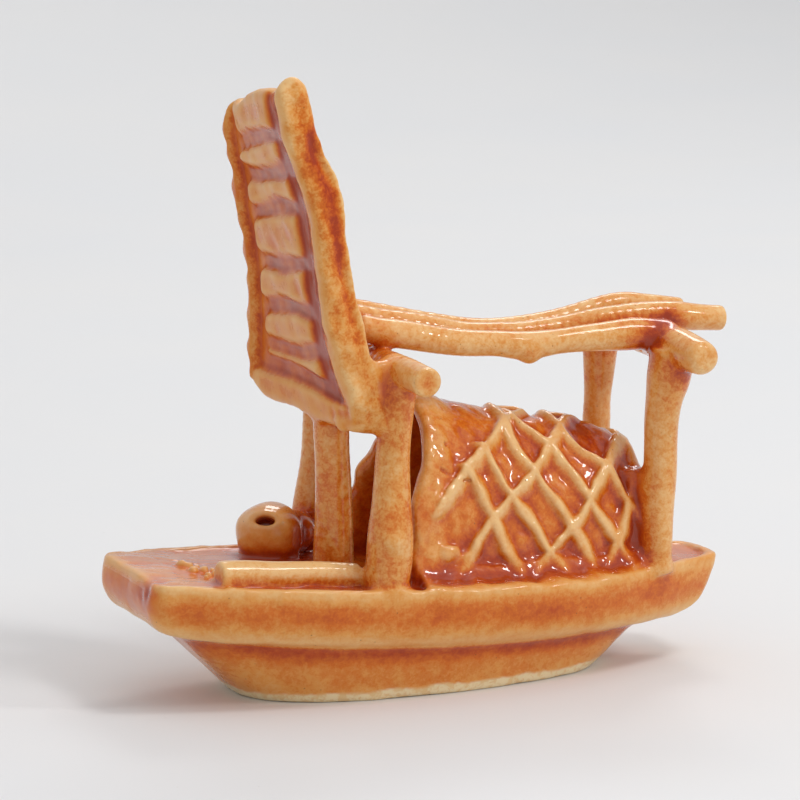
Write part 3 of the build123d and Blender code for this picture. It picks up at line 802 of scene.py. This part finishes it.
hull_pieces = {
    "lower_body": (lower_region, ["lower_hull"]),
    "deck_plate": (deck_region, ["deck_slab"]),
    "upper_body": (None, ["upper_hull"]),
}
sail_pieces = {
    "near_border": (lambda x, y, z: np.maximum(sail_front(x, y, z), y - BORDER_NEAR), ["sail_near_border"]),
    "far_border": (lambda x, y, z: np.maximum(sail_front(x, y, z), BORDER_FAR - y), ["sail_far_border"]),
    "bottom_border": (band_region(lambda y: 0, groove_line(0)), ["sail_bottom_border"]),
    "top_border": (band_region(top_line, lambda y: 2 * FAR_AWAY), ["sail_top_border"]),
    "backing_sheet": (None, ["sail_backing"]),
}
for i in range(7):
    upper_line = groove_line(i + 1) if i < 6 else top_line
    sail_pieces[f"batten_{i + 1}"] = (band_region(groove_line(i), upper_line), [f"sail_batten_{i + 1}"])
canopy_pieces = {
    "canopy_skin": (None, ["canopy_sheet"]),
    "canopy_lattice_coils": (lattice_region, ["canopy_lattice"]),
}

shapes = {
    "hull": Shape(boxed(hull_field, (-34, -14, -0.6), (33.2, 14, 14.6)), HULL_VOXEL, 0.05,
                  "hull", "caramel_glaze", hull_pieces, hull_tint),
    "sail": Shape(boxed(sail_field, (-23.5, -12.2, 26.4), (-7.6, 13.2, 66)), SAIL_VOXEL, 0.02,
                  "sail", "cream_glaze", sail_pieces, sail_tint),
    "canopy": Shape(boxed(canopy_field, (-7.2, -11.3, 9.4), (23.6, 11.3, 32)), CANOPY_VOXEL, 0.08,
                    "canopy", "amber_glaze", canopy_pieces, canopy_tint),
    "pot": Shape(boxed(jar_field, (-18.6, 3.6, 11.6), (-9.2, 11.4, 18.4)), SMALL_VOXEL, 0.12,
                 "pool", "caramel_glaze", {"pot": (None, ["jar"])}, jar_tint),
}
for i, (name, node, depth, rolled, sections) in enumerate(rolled_coils):
    form = tube(sections, seed=FIRST_COIL_SEED + i, **rolled)
    shapes[name] = Shape(form, SMALL_VOXEL, depth, "pole", "cream_glaze", {name: (None, [node])})

stern_corners = [(19.8, -4.6), (22, -2.6), (22.9, -6), (21.9, -7.1)]
sail_corners = [(-10.4, -10.7), (-8.3, -10.9), (-7.6, -8.6), (-10.6, -8.4)]
for name, node, depth, form in (
        ("canopy_pool", "glaze_pool_canopy", 0.40,
         boxed(canopy_pool_field, (-5.2, -13.2, 9.2), (23.6, -4.0, 14.6))),
        ("roll_pool", "glaze_pool_log", 0.24,
         boxed(roll_pool_field, (-26.0, -12.6, 11.0), (-10.8, -7.4, 14.6))),
        ("stern_web", "glaze_web_stern", 0.42, block(stern_corners, 10.6, 21.2, 0.15, 95)),
        ("sail_web", "glaze_web_sail", 0.14, block(sail_corners, 28.8, 35.4, 0.10, 96))):
    shapes[name] = Shape(form, SMALL_VOXEL, depth, "pool", "amber_glaze", {name: (None, [node])})


# ---- meshing

MARGIN = 1.6  # mm of room round a shape's box
FINE_BEND, COARSE_BEND = 0.4, 1.2  # mm, the sizes at which curvature drives the glaze's depth


def without_crumbs(points, quads, smallest=160):
    """The mesh without the loose bits that have fewer points than smallest."""
    label = np.arange(len(points))
    edges = np.vstack([quads[:, [i, (i + 1) % 4]] for i in range(4)])
    while True:
        lower = np.minimum(label[edges[:, 0]], label[edges[:, 1]])
        joined = label.copy()
        np.minimum.at(joined, edges[:, 0], lower)
        np.minimum.at(joined, edges[:, 1], lower)
        joined = joined[joined][joined]
        if np.array_equal(joined, label):
            break
        label = joined
    kept = np.bincount(label, minlength=len(points))[label] >= smallest
    index = np.cumsum(kept) - 1
    return points[kept], index[quads[kept[quads[:, 0]]]]


def zero_surface(solid, grid):
    """Closed quad mesh where the field is zero, in mm."""
    reach = 4 * grid.voxel
    band = np.clip(solid, -reach, reach)
    band[[0, -1]] = band[:, [0, -1]] = band[:, :, [0, -1]] = reach
    box = openvdb.FloatGrid(background=reach)
    box.copyFromArray(band)
    points, quads = box.convertToQuads(0.0)
    points, quads = without_crumbs(points, quads)
    return grid.low + points.astype(float) * grid.voxel, quads


def melted_round(name, grid):
    """A shape's own field, those of its neighbours melted together, and which neighbour is nearest."""
    own = shapes[name].field(grid).astype(np.float32)
    others = grid.full()
    nearest = np.full(grid.shape, list(shapes).index(name), dtype=np.int8)
    for i, (other, shape) in enumerate(shapes.items()):
        window = grid.window(shape.low - 1.5, shape.high + 1.5)
        if other == name or not window or min(w.stop - w.start for w in window) < 4:
            continue
        part = shape.field(grid.part(window)).astype(np.float32)
        nearest[window] = np.where(part < others[window], i, nearest[window])
        others[window] = melt(others[window], part, MELT * 0.5)
    return own, others, nearest


def add_object(name, data):
    made = bpy.data.objects.new(name, data)
    bpy.context.collection.objects.link(made)
    return made


def make_mesh(name, spots, quads, values):
    mesh = bpy.data.meshes.new(name)
    mesh.from_pydata((spots * MM).tolist(), [], quads.tolist())
    mesh.validate()
    for key, at_points in values.items():
        mesh.attributes.new(key, "FLOAT", "POINT").data.foreach_set("value", at_points.astype(np.float32))
    mesh.shade_smooth()
    return add_object(name, mesh)


def added_depth(shape, spots, lead, nearest):
    """Added depth of glaze at points of a shape, which near a joint passes over into the neighbour's."""
    x, y, z = spots.T.astype(np.float32)
    depth = shape.glaze(x, y, z)
    blend = ramp(lead, -1.8, 1.8)
    for i, other in enumerate(shapes.values()):
        chosen = (nearest == i) & (blend > 0)
        if other is not shape and chosen.any():
            there = other.glaze(x[chosen], y[chosen], z[chosen])
            depth[chosen] = depth[chosen] * (1 - blend[chosen]) + there * blend[chosen]
    for rx, ry, rz, reach, more in glaze_runs:
        depth = depth + more * np.exp(-((x - rx) ** 2 + (y - ry) ** 2 + (z - rz) ** 2) / reach ** 2)
    return depth


def build(name):
    """Every piece of one shape."""
    shape = shapes[name]
    grid = Grid.over(shape.low - MARGIN, shape.high + MARGIN, shape.voxel * FINENESS)
    own, others, nearest = melted_round(name, grid)
    melted = melt(own, others, MELT)
    lead = own - others
    sink = SEAM_SINK * np.clip(lead / SEAM_OVERLAP, 0, 1)
    solid = np.maximum(melted + sink, lead / 2 - SEAM_OVERLAP)
    fine = bend(np.clip(melted, -1.0, 1.0), grid.voxel, FINE_BEND)
    coarse = bend(np.clip(melted, -2.5, 2.5), grid.voxel, COARSE_BEND)
    regions = {piece: spec[0](*grid.axes) for piece, spec in shape.pieces.items() if spec[0]}
    made = []
    for piece, (region, nodes) in shape.pieces.items():
        part = solid
        if regions:
            past = regions[piece] if region else -functools.reduce(np.minimum, regions.values())
            part = np.maximum(solid + SEAM_SINK * np.clip(past / SPLIT_OVERLAP, 0, 1), past - SPLIT_OVERLAP)
        spots, quads = zero_surface(part.astype(np.float32), grid)
        values = {"fine": sampled(fine, grid, spots), "coarse": sampled(coarse, grid, spots)}
        at = np.rint((spots - grid.low) / grid.voxel).astype(int)
        at = tuple(np.clip(at, 0, np.array(grid.shape) - 1).T)
        values["tint"] = added_depth(shape, spots, sampled(lead, grid, spots), nearest[at])
        spots[:, 2] = np.maximum(spots[:, 2], 0.0)
        made.append((make_mesh(piece, spots, quads, values), nodes))
    return made


# ---- materials

CREAM = (0.83, 0.51, 0.215, 1)
HONEY = (0.74, 0.315, 0.068, 1)
CARAMEL = (0.65, 0.155, 0.011, 1)
RUST = (0.49, 0.068, 0.005, 1)
DARK = (0.36, 0.036, 0.004, 1)
# Mauve painted into hollows as a painted reflection (sheen) of the bright surroundings.
PAINTED_SHEEN_MAUVE = (0.27, 0.080, 0.045, 1)
PIT_BROWN = (0.17, 0.045, 0.012, 1)
CLAY = (0.88, 0.72, 0.45, 1)
CLAY_STAIN = (0.80, 0.56, 0.28, 1)
PIT_SPACING = 1.1  # mm
BARE_LOW, BARE_HIGH = 0.85, 1.30  # mm above the table, over which the foot's bare clay ends
BARE_WANDER = 0.20  # mm, how far that line wanders


class Nodes:
    """Short forms for building a material's node tree."""

    def __init__(self, name):
        self.material = bpy.data.materials.new(name)
        self.material.use_nodes = True
        self.tree = self.material.node_tree
        self.tree.nodes.clear()

    def add(self, kind, inputs=(), **settings):
        """New node, with its settings, and its inputs fed or set in order or by name."""
        node = self.tree.nodes.new(kind)
        for key, value in settings.items():
            setattr(node, key, value)
        for key, value in inputs.items() if isinstance(inputs, dict) else enumerate(inputs):
            if hasattr(value, "is_output"):
                self.tree.links.new(value, node.inputs[key])
            else:
                node.inputs[key].default_value = value
        return node

    def math(self, operation, a, b=0.0, c=0.0):
        return self.add("ShaderNodeMath", (a, b, c), operation=operation).outputs[0]

    def plus(self, base, value, share):
        """base + value * share"""
        return self.math("MULTIPLY_ADD", value, share, base)

    def span(self, value, low, high, to_low=0.0, to_high=1.0):
        inputs = (value, low, high, to_low, to_high)
        return self.add("ShaderNodeMapRange", inputs, interpolation_type="SMOOTHSTEP").outputs[0]

    def place(self):
        """Object coordinates, in metres."""
        return self.add("ShaderNodeTexCoord").outputs["Object"]

    def parts(self, vector):
        """X, Y and Z of a vector."""
        return self.add("ShaderNodeSeparateXYZ", (vector,)).outputs

    def noise(self, size_mm, detail, rough=0.55, distortion=0.0):
        return self.add("ShaderNodeTexNoise", {
            "Vector": self.place(), "Scale": 1 / (size_mm * MM), "Detail": detail,
            "Roughness": rough, "Distortion": distortion}).outputs[0]

    def uneven(self, size_mm, detail, rough=0.55, distortion=0.0):
        """Noise spread over -1 to 1."""
        return self.span(self.noise(size_mm, detail, rough, distortion), 0.33, 0.67, -1.0, 1.0)

    def attribute(self, name):
        return self.add("ShaderNodeAttribute", attribute_name=name).outputs["Fac"]

    def ramp(self, value, stops):
        node = self.add("ShaderNodeValToRGB", (value,))
        elements = node.color_ramp.elements
        while len(elements) < len(stops):
            elements.new(0.5)
        for element, (position, colour) in zip(elements, stops):
            element.position = position
            element.color = colour
        return node.outputs[0]

    def mix(self, share, a, b):
        inputs = {"Factor": share, "A": a, "B": b}
        return self.add("ShaderNodeMix", inputs, data_type="RGBA").outputs["Result"]

    def bump(self, height, strength, distance_mm):
        inputs = {"Strength": strength, "Distance": distance_mm * MM, "Height": height}
        return self.add("ShaderNodeBump", inputs).outputs[0]

    def surface(self, inputs):
        """The material, with a Principled surface."""
        shader = self.add("ShaderNodeBsdfPrincipled", inputs)
        self.add("ShaderNodeOutputMaterial", (shader.outputs[0],))
        return self.material


def glaze_material(name, coat, coat_rough, blotch, fleck, dents, pits=0.3, foot=False, painted_sheen=0, calm=False):
    """Transparent honey glaze over pale clay: thin and pale on ridges, deep and red in hollows.

    blotch and fleck are how far the depth wanders over 4 mm and under 1 mm, dents how uneven the
    skin is, pits how deep its pinholes are, and painted_sheen the share of mauve painted into the
    hollows as a reflection of the bright surroundings.  A foot is bare clay low down.  A calm glaze
    keeps its grain off the faces that look forward or up, where it lay and levelled.
    """
    n = Nodes(name)
    fine, coarse = n.attribute("fine"), n.attribute("coarse")
    drift, speck, grain = n.uneven(4.2, 3.0, 0.6, 0.6), n.uneven(0.75, 3.0, 0.65, 0.4), n.uneven(0.25, 2.0)
    bent = n.plus(0.54, n.math("TANH", n.math("MULTIPLY", fine, 0.8)), 0.13)
    bent = n.plus(bent, n.math("TANH", n.math("MULTIPLY", coarse, 1.2)), 0.24)
    thin = n.plus(n.math("SUBTRACT", bent, n.attribute("tint")), drift, blotch)
    grains = n.plus(n.math("MULTIPLY", speck, fleck), grain, fleck * 0.5)
    if calm:
        way = n.parts(n.add("ShaderNodeNewGeometry").outputs["Normal"])
        lying = n.math("MAXIMUM", n.math("MULTIPLY", way[0], -1.0), way[2])
        grains = n.math("MULTIPLY", grains, n.span(lying, 0.55, 0.90, 1.0, 0.25))
    thin = n.math("ADD", thin, grains)
    colour = n.ramp(thin, [(0.0, DARK), (0.16, RUST), (0.36, CARAMEL), (0.58, HONEY), (0.88, CREAM)])
    # Painted reflection: mauve mixed into the colour of the hollows stands in for the sheen of the bright
    # surroundings on the glaze.
    if painted_sheen:
        colour = n.mix(n.span(coarse, -0.70, 0.05, painted_sheen, 0.0), colour, PAINTED_SHEEN_MAUVE)
    pit = n.add("ShaderNodeTexVoronoi", {"Vector": n.place(), "Scale": 1 / (PIT_SPACING * MM)})
    hole = n.span(pit.outputs["Distance"], 0.04, 0.11, 1.0, 0.0)
    colour = n.mix(n.math("MULTIPLY", hole, n.span(drift, 0.1, 0.6, 0.0, 0.55)), colour, PIT_BROWN)
    if foot:
        level = n.plus(n.parts(n.place())[2], drift, BARE_WANDER * MM)
        bare = n.span(level, BARE_LOW * MM, BARE_HIGH * MM, 1.0, 0.0)
        colour = n.mix(bare, colour, n.mix(n.span(speck, -0.6, 0.8), CLAY, CLAY_STAIN))
    skin = n.plus(n.noise(2.0, 2.0), n.noise(0.5, 2.0), 0.30)
    return n.surface({
        "Base Color": colour,
        "Roughness": n.span(thin, 0.35, 0.85, 0.22, 0.48),
        "Normal": n.bump(n.plus(skin, hole, -0.3), dents, 0.25),
        "IOR": 1.45,
        "Specular IOR Level": 0.2,
        "Coat Weight": coat,
        "Coat Roughness": coat_rough,
        "Coat IOR": 1.42,
        "Coat Normal": n.bump(n.plus(skin, hole, -pits), dents * 0.6, 0.20)})


# Each glaze's coat and coat roughness, then its blotch, fleck and dents.
materials = {
    "hull": glaze_material("hull_glaze", 0.55, 0.16, 0.05, 0.060, 0.04, foot=True, calm=True),
    "deck": glaze_material("deck_glaze", 0.75, 0.22, 0.03, 0.020, 0.015),
    "sail": glaze_material("sail_glaze", 0.30, 0.24, 0.06, 0.110, 0.04, painted_sheen=0.80, calm=True),
    "canopy": glaze_material("canopy_glaze", 1.0, 0.03, 0.06, 0.070, 0.12, pits=1.0),
    "pool": glaze_material("pool_glaze", 1.0, 0.03, 0.06, 0.040, 0.16, pits=0.8),
    "pole": glaze_material("pole_glaze", 0.80, 0.06, 0.08, 0.110, 0.08),
}

for shape_name, made_shape in shapes.items():
    for piece, nodes in build(shape_name):
        finish = "deck" if piece.name == "deck_plate" else made_shape.finish
        piece.data.materials.append(materials[finish])
        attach(piece, "root")
        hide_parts(*nodes)


# ---- floor, lights, camera

AZIMUTH, ELEVATION = math.radians(-22), math.radians(10.5)
DISTANCE, LENS = 520.0, 231.7  # mm
AIM_POINT = (-6.84, -9.14, 31.0)  # mm, what the camera looks at
MIDDLE = (0.0, 0.0, 0.03)  # metres, what the lights are turned to


def card_material():
    n = Nodes("pale_card")
    height = n.parts(n.place())[2]
    tone = n.mix(n.noise(45.0, 2.0), (0.76, 0.765, 0.775, 1), (0.80, 0.785, 0.77, 1))
    # Painted light: the card is made paler higher up, standing in for light falling on its upper part.
    tone = n.mix(n.span(height, 0.02, 0.30), tone, (0.88, 0.885, 0.895, 1))
    speck = n.span(n.noise(0.8, 2.0, 0.6), 0.74, 0.80, 0.0, 0.35)
    return n.surface({
        "Base Color": n.mix(speck, tone, (0.50, 0.46, 0.43, 1)),
        "Roughness": 0.7,
        # Painted light: the card glows, more the higher up it is.
        "Emission Color": (1, 1, 1, 1),
        "Emission Strength": n.span(height, 0.05, 0.45, 0.0, 0.11),
        "Specular IOR Level": 0.25,
        "Normal": n.bump(n.noise(1.5, 3.0), 0.15, 0.1)})


def backdrop():
    """Card that lies under the boat and curves up behind it, square to the camera."""
    width, front, back, radius, height = 1600, -900, 750, 500, 1200
    profile = [(front, 0.0), (back - radius, 0.0)]
    for i in range(1, 17):
        turn = math.pi / 2 * i / 16
        profile.append((back - radius + radius * math.sin(turn), radius - radius * math.cos(turn)))
    profile.append((back, height))
    cos, sin = math.cos(-AZIMUTH), math.sin(-AZIMUTH)
    verts = [(x * cos - y * sin, x * sin + y * cos, z) for y, z in profile for x in (-width, width)]
    faces = [(2 * i, 2 * i + 1, 2 * i + 3, 2 * i + 2) for i in range(len(profile) - 1)]
    card = make_mesh("card", np.array(verts), np.array(faces), {})
    card.data.materials.append(card_material())
    return card


backdrop()


def aim(place, target):
    way = mathutils.Vector(target) - mathutils.Vector(place)
    return way.to_track_quat("-Z", "Y").to_euler()


# Each light's place and size in metres, and its power in watts.
for name, place, width, height, watts in (
        ("top_soft", (0.02, -0.02, 0.62), 0.60, 0.50, 0.32),
        ("window", (0.16, -0.22, 0.50), 0.085, 0.14, 0.70),
        ("lamp", (0.36, -0.34, 0.34), 0.05, 0.09, 0.55),
        ("back_soft", (0.22, 0.38, 0.42), 0.22, 0.12, 0.54)):
    data = bpy.data.lights.new(name, "AREA")
    data.shape = "RECTANGLE"
    data.size, data.size_y, data.energy = width, height, watts
    light = add_object(name, data)
    light.location = place
    light.rotation_euler = aim(place, MIDDLE)

world = bpy.data.worlds.new("tent")
bpy.context.scene.world = world
world.use_nodes = True
world.node_tree.nodes["Background"].inputs["Color"].default_value = (0.97, 0.98, 1.0, 1)
world.node_tree.nodes["Background"].inputs["Strength"].default_value = 0.62

flat = math.cos(ELEVATION)
backwards = (math.sin(AZIMUTH) * flat, -math.cos(AZIMUTH) * flat, math.sin(ELEVATION))
camera_data = bpy.data.cameras.new("camera")
camera_data.sensor_width = 36.0
camera_data.lens = LENS
camera_data.clip_start = 0.01
camera = add_object("camera", camera_data)
camera.location = [(t + DISTANCE * b) * MM for t, b in zip(AIM_POINT, backwards)]
camera.rotation_euler = aim(camera.location, [t * MM for t in AIM_POINT])
bpy.context.scene.camera = camera
bpy.context.scene.view_settings.view_transform = "Standard"
